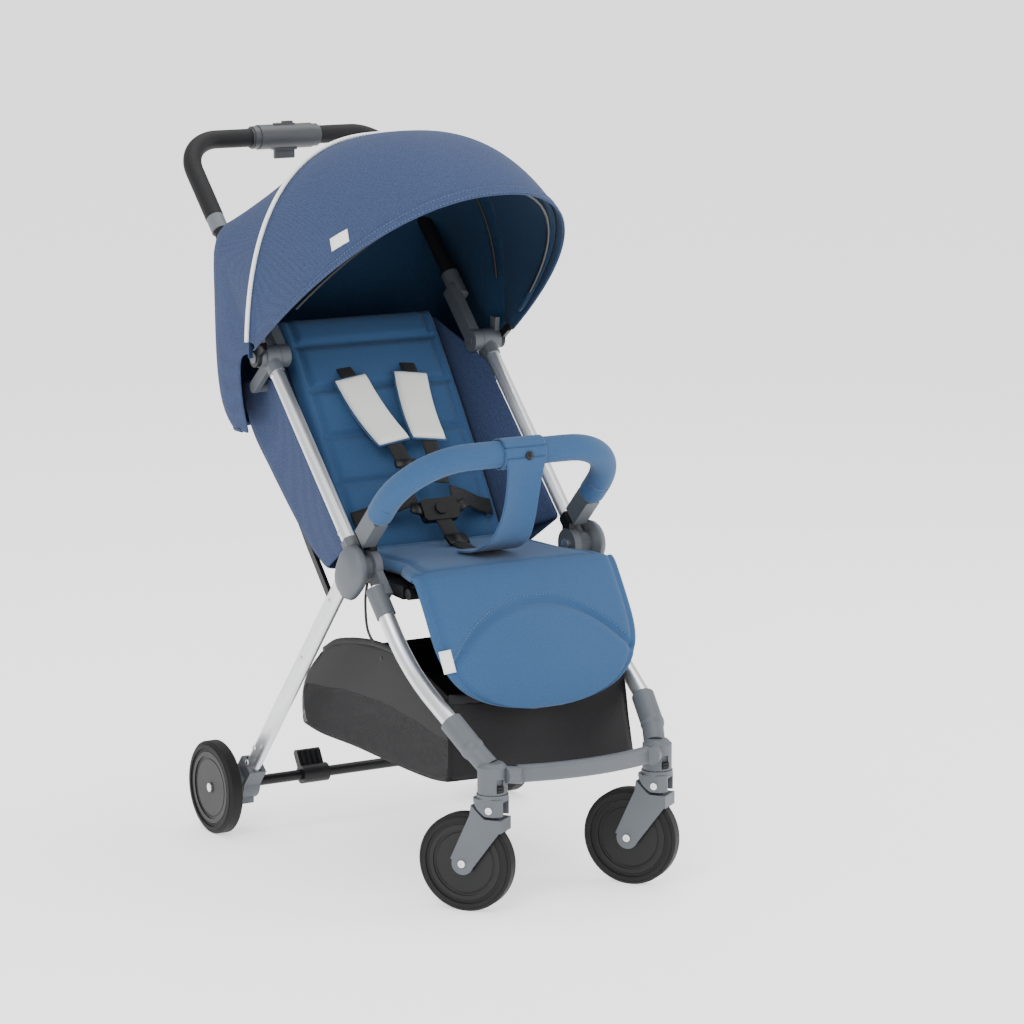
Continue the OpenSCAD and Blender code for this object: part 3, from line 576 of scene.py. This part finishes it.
tagBase = frontPoint(canopyTagAt[0], canopyTagAt[1])
tagAlong = (frontPoint(canopyTagAt[2], canopyTagAt[3]) - tagBase).normalized()
tagOut = (frontPoint(canopyTagAt[0], canopyTagAt[1], 0.02) - tagBase).normalized()
tagDown = tagAlong.cross(tagOut).normalized()
if tagDown.z > 0:
    tagDown = -tagDown
canopyTag = blankTag("canopyTag", tagBase, tagAlong, tagDown, tagOut, 0.034, 0.02, mats["label"])
frontPieces = [frontCover, hemBand, innerChannel, canopyTag] + hemThread + pipeThread
for piece in frontPieces:
    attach(piece, "canopy_front")
for piece in (rearCover, piping, rearHem):
    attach(piece, "handle_frame")
for piece in frontPieces + [rearCover, piping, rearHem]:
    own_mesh(piece)
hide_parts("canopy_front_panel")
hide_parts("canopy_rear_panel")
print("canopy made")


# seat, backrest, calf rest

backrest = {
    "halfWidth": 0.134,
    "length": 0.368,
    "thickness": 0.019,
    "channels": [0.105, 0.178, 0.251, 0.323],
    "channelDepth": 0.008,
    "channelWidth": 0.006,
}


def backGroove(u, v):
    b = backrest
    at = v * b["length"]
    dip = sum(b["channelDepth"] * bell(at - c, b["channelWidth"]) for c in b["channels"])
    edge = abs(abs(u) - 0.86) * b["halfWidth"]
    side = 0.006 * bell(edge, 0.005)
    return max(dip if abs(u) < 0.9 else 0, side)


def backPlace(u, v, h):
    b = backrest
    return onBack(u * b["halfWidth"], -0.014 + v * (b["length"] + 0.018), h - 0.016 + 0.004 * sin(pi * v))


backPad = pad("backrestPad", backPlace, mats["seat"], backrest["thickness"], nu=72, nv=150, corner=16,
              groove=backGroove, crown=0.12)
backShell = pad("backrestShell", lambda u, v, h: onBack(u * 0.1395, 0.006 + v * 0.372, -h - 0.0215),
                mats["canopy"], 0.005, nu=30, nv=40, corner=20, crown=0.05)
for piece, node in ((backPad, "backrest_pad"), (backShell, "backrest_board")):
    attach(piece, "backrest")
    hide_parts(node)

seat = {
    "rear": -0.004,
    "front": -0.236,
    "rearHalf": 0.141,
    "frontHalf": 0.166,
    "mid": 0.438,
    "thickness": 0.0145,
}


def seatPlace(u, v, h):
    y = mix(seat["rear"], seat["front"], v)
    w = mix(seat["rearHalf"], seat["frontHalf"], max(0, (v - 0.7) / 0.3) ** 0.7 if v > 0.7 else 0)
    return Vector((u * w, y, seat["mid"] + h + 0.004 * v))


def seatGroove(u, v):
    edge = abs(abs(u) - 0.87) * 0.15
    return 0.005 * bell(edge, 0.005) + 0.006 * bell(abs(v - 0.1) * 0.22, 0.006)


seatPad = pad("seatPad", seatPlace, mats["seat"], seat["thickness"], nu=72, nv=70, corner=14,
              groove=seatGroove, crown=0.15)
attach(seatPad, "frame")
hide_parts("seat_pad")

calf = {
    "path": [(-0.239, 0.447), (-0.249, 0.440), (-0.263, 0.420), (-0.286, 0.383), (-0.309, 0.340),
             (-0.323, 0.298), (-0.328, 0.262)],
    "halfWidth": 0.168,
    "thickness": 0.0105,
}
calfLine = curveThrough([(0, y, z) for y, z in calf["path"]], 20)


def calfWidth(v):
    # straight sides, then a wide round end
    return 1.0 if v < 0.5 else max(0.02, (1 - ((v - 0.5) / 0.5) ** 2.6)) ** 0.5


def calfPlace(u, v, h):
    at = v * (len(calfLine) - 1)
    i = min(int(at), len(calfLine) - 2)
    p = calfLine[i].lerp(calfLine[i + 1], at - i)
    ahead = (calfLine[i + 1] - calfLine[i]).normalized()
    out = Vector((0, ahead.z, -ahead.y)) * -1
    if out.y > 0:
        out = -out
    return Vector((u * calf["halfWidth"], p.y, p.z)) + out * (h + 0.004 * (1 - u * u))


def calfArc(x):
    # the sewn arc across the lower half, v as a function of sideways place
    return 0.43 + 0.30 * (abs(x) / 0.155) ** 2.1


def calfGroove(u, v):
    x = u * calfWidth(v) * calf["halfWidth"]
    dip = 0.006 * bell((v - calfArc(x)) * 0.2, 0.0045)
    edge = (1 - abs(u)) * calf["halfWidth"]
    return dip + 0.004 * bell(edge - 0.012, 0.004)


calfPad = pad("calfRestPad", calfPlace, mats["seat"], calf["thickness"], nu=90, nv=90, corner=20,
              width=calfWidth, groove=calfGroove, crown=0.15, back=0.8)
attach(calfPad, "calf_rest")
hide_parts("calf_rest")
arcPath = [calfPlace(x / 100, calfArc(x / 100 * calf["halfWidth"]) - 0.03, 0.0118) for x in range(-88, 89, 2)]
arcStitch = stitches("calfArcStitch", arcPath, [(0, -0.8, 0.5)] * len(arcPath), mats["thread"])
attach(arcStitch, "calf_rest")
calfTag = blankTag("calfTag", calfPlace(-0.99, 0.62, 0.006), (0.9, -0.1, 0.1), (0.1, -0.3, -0.9),
                   (0, -0.9, 0.4), 0.02, 0.034, mats["label"])
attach(calfTag, "calf_rest")
print("seat made")


# bumper bar

bumper = {"foot": (-0.121, 0.483), "x": 0.178, "bend": 0.096, "top": 0.188, "start": 0.058,
          "radius": 0.0195}


def onBumper(x, d, off=0.0):
    y, z = bumper["foot"]
    r = 0.70710678
    return Vector((x, y - r * d - r * off, z + r * d - r * off))


def bumperLine():
    b = bumper
    path = [(b["x"], b["start"] + k * 0.008) for k in range(6)]
    for k in range(13):
        a = pi / 2 * k / 12
        path.append((b["x"] - b["bend"] + b["bend"] * cos(a), b["top"] - b["bend"] + b["bend"] * sin(a)))
    path += [(x / 1000, b["top"]) for x in range(60, -1, -20)]
    path += [(-x, d) for x, d in reversed(path[:-1])]
    return [onBumper(x, d) for x, d in path]


bumperPath = bumperLine()


def sleeveTaper(t):
    # the sleeve is drawn in at both ends
    return 1 - 0.22 * max(0, 1 - min(t, 1 - t) / 0.02) ** 2


bumperSleeve = sweep("bumperSleeve", bumperPath, (bumper["radius"],) * 2, mats["seat"],
                     up=(0, -0.707, -0.707), sides=20, level=1, scale=sleeveTaper)
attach(bumperSleeve, "bumper")
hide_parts("bumper_bar")
seam = stitches("bumperSeam", [p + Vector((0, 0.0138, 0.0138)) * 1.01 for p in bumperPath],
                [(0, 0.707, 0.707)] * len(bumperPath), mats["thread"])
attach(seam, "bumper")

# the strap loops round the middle of the bar and runs down between the legs
dropLine = curveThrough([(0, -0.2765, 0.611), (0, -0.270, 0.592), (0, -0.260, 0.556), (0, -0.247, 0.52),
                         (0, -0.226, 0.489), (0, -0.19, 0.4675), (0, -0.143, 0.4595)], 6)
loopRows = []
for k in range(25):
    a = radians(150 + 360 * k / 24)
    p = onBumper(0, bumper["top"]) + Vector((0, cos(a), sin(a))) * (0.0215 + (0.0012 if k > 20 else 0))
    loopRows.append([Vector((x, p.y, p.z)) for x in [w * 0.034 / 6 for w in range(-6, 7)]])
loop = clothSheet("bumperStrapLoop", loopRows, [mats["seat"], mats["seat"]], thickness=0.0024)
dropRows = []
for k, p in enumerate(dropLine):
    t = k / (len(dropLine) - 1)
    half = 0.033 - 0.007 * sin(pi * min(1, t * 1.3)) + 0.004 * t
    dropRows.append([Vector((half * w / 6, p.y - 0.006 * (w / 6) ** 2 * sin(pi * t), p.z))
                     for w in range(-6, 7)])
drop = clothSheet("bumperStrapDrop", dropRows, [mats["seat"], mats["seat"]], thickness=0.003)
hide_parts("bumper_strap")
strapSnap = dome("strapSnap", onBumper(0, bumper["top"]) + Vector((0.004, -0.0235, -0.002)), (0, -1, 0.05),
                 0.0065, 0.003, mats["black"])
for piece in (loop, drop, strapSnap):
    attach(piece, "bumper")
print("bumper made")


# harness

def tape(name, points, half=0.0125, thick=0.0009, facing=(0, -0.83, 0.55), body="backrest", steps=6):
    line = curveThrough(points, steps)
    facing = Vector(facing)
    rows = []
    for i, p in enumerate(line):
        ahead = (line[min(i + 1, len(line) - 1)] - line[max(i - 1, 0)]).normalized()
        across = ahead.cross(facing).normalized()
        rows.append([p + across * half * k / 2 for k in (-2, -1, 0, 1, 2)])
    obj = clothSheet(name, rows, [mats["tape"], mats["tape"]], thickness=thick * 2, level=0)
    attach(obj, body)
    return obj


for side in (-1, 1):
    top = (side * 0.052, 0.262)
    low = (side * 0.030, 0.138)

    def padPlace(u, v, h, top=top, low=low):
        x = mix(top[0], low[0], v)
        at = mix(top[1], low[1], v)
        lean = 0.012 + 0.03 * v * v
        return onBack(x + u * 0.027, at - u * side * 0.004, lean + h)

    cover = pad("shoulderPad" + handOf(side), padPlace, mats["shoulder"], 0.0085,
                nu=22, nv=46, corner=9, crown=0.2, back=0.9)
    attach(cover, "backrest")
    outline = [(-1, k / 20) for k in range(21)] + [(-1 + k / 5, 1) for k in range(11)]
    outline += [(1, 1 - k / 20) for k in range(21)] + [(1 - k / 5, 0) for k in range(11)]
    edge = [padPlace(u, v, 0.0) for u, v in outline]
    trim = sweep("shoulderPiping" + handOf(side), edge, (0.0016, 0.0016), mats["binding"],
                 up=(0, -0.83, 0.55), sides=8)
    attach(trim, "backrest")
    name = handOf(side)
    tape("shoulderStrap" + name, [onBack(side * 0.056, 0.292, -0.002), onBack(side * 0.055, 0.285, 0.004),
         onBack(side * 0.053, 0.268, 0.011), onBack(side * 0.05, 0.25, 0.014)])
    tape("chestStrap" + name, [onBack(side * 0.031, 0.145, 0.038), onBack(side * 0.028, 0.12, 0.043),
         onBack(side * 0.024, 0.085, 0.05), onBack(side * 0.02, 0.062, 0.053)])
    tape("waistStrap" + name, [onBack(side * 0.03, 0.045, 0.052), onBack(side * 0.06, 0.04, 0.04),
         onBack(side * 0.095, 0.036, 0.018), onBack(side * 0.118, 0.034, 0.009)])
    slider = sweep("strapSlider" + name, [onBack(side * 0.026 + k, 0.1, 0.048) for k in (-0.017, 0.017)],
                   (0.006, 0.0028), mats["black"], up=(0, -0.83, 0.55), sides=12, power=4)
    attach(slider, "backrest")
    slot = sweep("strapSlot" + name, [onBack(side * 0.056 + k, 0.291, 0.004) for k in (-0.016, 0.016)],
                 (0.005, 0.0012), mats["black"], up=(0, -0.83, 0.55), sides=10, power=5)
    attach(slot, "backrest")
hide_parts("shoulder_pads")
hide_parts("harness_straps")

crotch = tape("crotchStrap", [(0, -0.118, 0.4565), (0, -0.104, 0.458), (0, -0.085, 0.464), (0, -0.066, 0.474),
              (0, -0.05, 0.486), (0, -0.042, 0.492)], half=0.0125, facing=(0, -0.7, 0.7), body="frame")
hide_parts("crotch_strap")
adjuster = sweep("crotchAdjuster", [(-0.016, -0.085, 0.4655), (0.016, -0.085, 0.4655)], (0.011, 0.0032),
                 mats["black"], up=(0, -0.5, 0.85), sides=12, power=4)
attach(adjuster, "frame")
for side in (-1, 1):
    tongue = sweep("buckleTongue" + handOf(side),
                   [(side * 0.028, -0.036, 0.501), (side * 0.046, -0.032, 0.508)], (0.008, 0.0032),
                   mats["black"], up=(0, -0.8, 0.6), sides=12, power=3)
    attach(tongue, "frame")
print("harness made")


# side wings and basket

wing = {
    "tubeX": 0.1735, "backX": 0.141, "top": 0.345, "bottom": 0.052,
    "outerX": 0.167, "outer": [(0.004, 0.424), (0.058, 0.452), (0.112, 0.490), (0.170, 0.536),
                               (0.228, 0.585), (0.262, 0.625), (0.284, 0.665)],
}
outerLine = curveThrough([(0, y, z) for y, z in wing["outer"]], 4)
for side in (-1, 1):
    name = handOf(side)
    inner, outer = [], []
    for i in range(25):
        t = i / 24
        a = onTube(side * wing["tubeX"], mix(wing["bottom"], wing["top"], t), -0.004)
        b = onBack(side * wing["backX"], mix(0.0, 0.372, t), -0.022)
        c = outerLine[i].copy()
        c.x = side * (wing["outerX"] - 0.010 * t)
        inner.append([])
        outer.append([])
        for j in range(9):
            u = j / 8
            p = a.lerp(b, u)
            p.x -= side * 0.006 * sin(pi * u) * (0.5 + 0.5 * sin(5 * t))
            inner[-1].append(p)
            q = a.lerp(c, u)
            q.x += side * (0.0035 * sin(pi * u) * sin(4 * t + 1) - 0.003 * sin(pi * u))
            outer[-1].append(q)
    for label, rows in (("innerWing", inner), ("outerWing", outer)):
        panel = clothSheet(label + name, rows, [mats["canopy"], mats["canopy"]])
        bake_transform(panel)
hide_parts("side_wings")
backRows = []
for i in range(25):
    c = outerLine[i]
    half = wing["outerX"] - 0.010 * i / 24
    row = []
    for k in range(-10, 11):
        billow = 0.010 * sin(pi * i / 24) * (1 - (k / 10) ** 2)
        row.append(Vector((half * k / 10, c.y + billow + 0.0025 * sin(k * 1.3 + i * 0.5),
                           c.z - 0.008 * (1 - (k / 10) ** 2))))
    backRows.append(row)
backPanel = clothSheet("backPanel", backRows, [mats["canopy"], mats["canopy"]])
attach(backPanel, "backrest")

basket = {
    "halfWidth": 0.149,
    "bottom": [(-0.317, 0.170), (-0.27, 0.1655), (-0.18, 0.166), (-0.06, 0.170), (0.04, 0.170),
               (0.098, 0.176)],
    "rim": [(-0.303, 0.284), (-0.26, 0.299), (-0.19, 0.322), (-0.1, 0.329), (0.0, 0.315), (0.05, 0.293)],
    "rear": [(0.098, 0.176), (0.105, 0.228), (0.05, 0.293)],
    "split": 0.45,
}
rimLine = curveThrough([(0, y, z) for y, z in basket["rim"]], 8)
lowLine = curveThrough([(0, y, z) for y, z in basket["bottom"]], 8)
pieces = []
for side in (-1, 1):
    rows = []
    for i in range(11):
        t = i / 10
        row = []
        for j, (low, high) in enumerate(zip(lowLine, rimLine)):
            along = j / (len(rimLine) - 1)
            p = low.lerp(high, t)
            if along > 0.8:
                p.y += 0.03 * sin(pi * t) * (along - 0.8) / 0.2
            p.x = side * (basket["halfWidth"] + 0.009 * (1 - t) ** 0.7 * (1 - 0.35 * sin(pi * t)) - 0.0015)
            p.z += 0.0015 * sin(9 * along * pi) * t
            row.append(p)
        rows.append(row)
    band = clothSheet("basketSide" + handOf(side), rows, [mats["net"], mats["nylon"], mats["net"]],
                      bandMaterial=lambda i, j: 1 if i >= 5 else 0)
    band.modifiers["cloth"].material_offset = 0
    pieces.append(band)
    edge = [Vector((side * (basket["halfWidth"] - 0.0015), p.y, p.z)) for p in rimLine]
    rim = sweep("basketRim" + handOf(side), edge, (0.0022, 0.005), mats["nylon"], sides=10)
    pieces.append(rim)
    for spot in (14, 22):
        p = rimLine[spot]
        place = (side * (basket["halfWidth"] - 0.001), p.y, p.z - 0.018)
        pieces.append(dome("basketSnap" + str(spot) + handOf(side)[0], place, (side, 0, 0), 0.006, 0.0025,
                           mats["black"]))
across = [w / 8 for w in range(-8, 9)]
basketFrontRows = []
for k in range(9):
    t = k / 8
    half = basket["halfWidth"] + 0.009 * (1 - k / 8) ** 0.7 - 0.002
    basketFrontRows.append([Vector((x * half, -0.3165 + 0.014 * k / 8 - 0.003 * sin(pi * k / 8) * (1 - x * x)
                      + 0.004 * sin(7 * x) * t, mix(0.170, 0.284 - 0.012 * (1 - x * x), t))) for x in across])
frontWall = clothSheet("basketFront", basketFrontRows, [mats["nylon"], mats["nylon"]])
frontHem = sweep("basketFrontHem", basketFrontRows[-1], (0.002, 0.008), mats["tape"], sides=10)
bottomRows = [[Vector((x * (basket["halfWidth"] + 0.007), p.y, p.z + 0.0005 - 0.002 * (1 - x * x)))
               for x in across] for p in lowLine]
bottomSheet = clothSheet("basketBottom", bottomRows, [mats["nylon"], mats["nylon"]])
rearLine = curveThrough([(0, y, z) for y, z in basket["rear"]], 6)
basketRearRows = [[Vector((x * (basket["halfWidth"] + 0.002), p.y - 0.004 * (1 - x * x), p.z))
                   for x in across] for p in rearLine]
rearWall = clothSheet("basketRear", basketRearRows, [mats["nylon"], mats["nylon"]])
pieces += [frontWall, frontHem, bottomSheet, rearWall]
for piece in pieces:
    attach(piece, "frame")
    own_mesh(piece)
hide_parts("basket")

# straps that hold the basket up
for side in (-1, 1):
    name = handOf(side)
    hangerLine = curveThrough([(side * 0.158, -0.098, 0.42), (side * 0.157, -0.09, 0.39),
                               (side * 0.155, -0.092, 0.35), (side * 0.1465, -0.1, 0.325)], 5)
    hanger = sweep("basketHanger" + name, hangerLine, (0.0035, 0.0012), mats["tape"], up=(side, 0, 0.01),
                   sides=8)
    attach(hanger, "frame")
print("basket made")


# elbow covers

pod = {"center": (-0.131, 0.4485), "round": 0.0345, "lobe": 0.021, "inner": 0.1966, "outer": 0.2155}


def podShell(side):
    # an egg-shaped dome that points down the rear leg
    verts, faces = [], []
    rings, sides = 14, 56
    for i in range(rings + 1):
        k = 1 - i / rings
        x = pod["inner"] + (pod["outer"] - pod["inner"]) * (1 - k ** 3.2) ** 0.5 if i else pod["inner"]
        for j in range(sides):
            a = 2 * pi * j / sides
            r = pod["round"] + pod["lobe"] * max(0, cos(a - lines["legAngle"])) ** 3
            r *= max(k, 0.02)
            verts.append((side * x, pod["center"][0] + r * cos(a), pod["center"][1] + r * sin(a)))
    for i in range(rings):
        for j in range(sides):
            n = (j + 1) % sides
            quad = (i * sides + j, i * sides + n, (i + 1) * sides + n, (i + 1) * sides + j)
            faces.append(quad if side > 0 else quad[::-1])
    faces.append(tuple(range(sides))[::-1] if side > 0 else tuple(range(sides)))
    top = tuple(rings * sides + j for j in range(sides))
    faces.append(top if side > 0 else top[::-1])
    return makeObject("elbowPod" + handOf(side), verts, faces, [mats["grey"]])


pods = [podShell(side) for side in (-1, 1)]
for piece in pods:
    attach(piece, "rear_legs")
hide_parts("elbow_covers")


# rivets

def rivetPair(name, x, p, body, radius=0.0042, height=0.002):
    for side in (-1, 1):
        head = dome(name + handOf(side), (side * x, p[0], p[1]), (side, 0, 0), radius, height,
                    mats["steel"])
        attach(head, body)


for k, d in enumerate((0.062, 0.345)):
    p = onTube(0, d)
    rivetPair("upperTubeRivet" + str(k), 0.1952, (p.y, p.z), "upper_frame")
for k, d in enumerate((0.07, 0.2, 0.41, 0.445)):
    a = lines["legAngle"]
    rivetPair("rearLegRivet" + str(k), 0.2108 if d < 0.4 else 0.2178, (lines["elbow"][0] + d * cos(a),
              lines["elbow"][1] + d * sin(a)), "rear_legs")
print("rivets made")


# floor, light, camera

studio = {"azimuth": -31.8, "elevation": 9.9, "focal": 4151.9, "distance": 6.0608,
          "aside": 0.0983, "height": 0.5}
floor = makeObject("floor", [(-90, -90, 0), (90, -90, 0), (90, 90, 0), (-90, 90, 0)], [(0, 1, 2, 3)],
                   [plastic("paleFloor", (0.93, 0.93, 0.93), 0.6, grain=40, depth=0.01, spread=0.01)])
glow = floor.data.materials[0].node_tree.nodes["Principled BSDF"]
glow.inputs["Emission Color"].default_value = (1, 1, 1, 1)
glow.inputs["Emission Strength"].default_value = 0.95
world = bpy.data.worlds.new("studioSky")
bpy.context.scene.world = world
world.use_nodes = True
world.node_tree.nodes["Background"].inputs[0].default_value = (1, 1, 1, 1)
world.node_tree.nodes["Background"].inputs[1].default_value = 1.0


def softLight(name, place, target, size, watts):
    data = bpy.data.lights.new(name, "AREA")
    data.size = size
    data.energy = watts
    lamp = bpy.data.objects.new(name, data)
    lamp.location = place
    lamp.rotation_euler = (Vector(target) - Vector(place)).to_track_quat("-Z", "Y").to_euler()
    bpy.context.scene.collection.objects.link(lamp)
    return lamp


softLight("keyLight", (-2.6, -2.6, 3.2), (0, 0, 0.5), 2.2, 110)
softLight("topLight", (0.6, 0.4, 4.0), (0, 0, 0.4), 3.0, 90)
softLight("sideLight", (3.2, -1.6, 1.6), (0, 0, 0.5), 2.0, 45)

az, el = radians(studio["azimuth"]), radians(studio["elevation"])
backward = Vector((sin(az) * cos(el), -cos(az) * cos(el), sin(el)))
rightward = Vector((cos(az), sin(az), 0))
lens = bpy.data.cameras.new("studioCamera")
lens.sensor_width = 36
lens.lens = studio["focal"] / 1024 * 36
camera = bpy.data.objects.new("studioCamera", lens)
bpy.context.scene.collection.objects.link(camera)
lookAt = rightward * studio["aside"] + Vector((0, -0.05, studio["height"]))
camera.location = lookAt + backward * studio["distance"]
camera.rotation_euler = backward.to_track_quat("Z", "Y").to_euler()
bpy.context.scene.camera = camera
print("studio ready")

# cloth: how each sheet is held and what it hangs from or lies on

for name, rows in clothCuts.items():
    across = max(sum((a - b).length for a, b in zip(r, r[1:])) for r in rows)
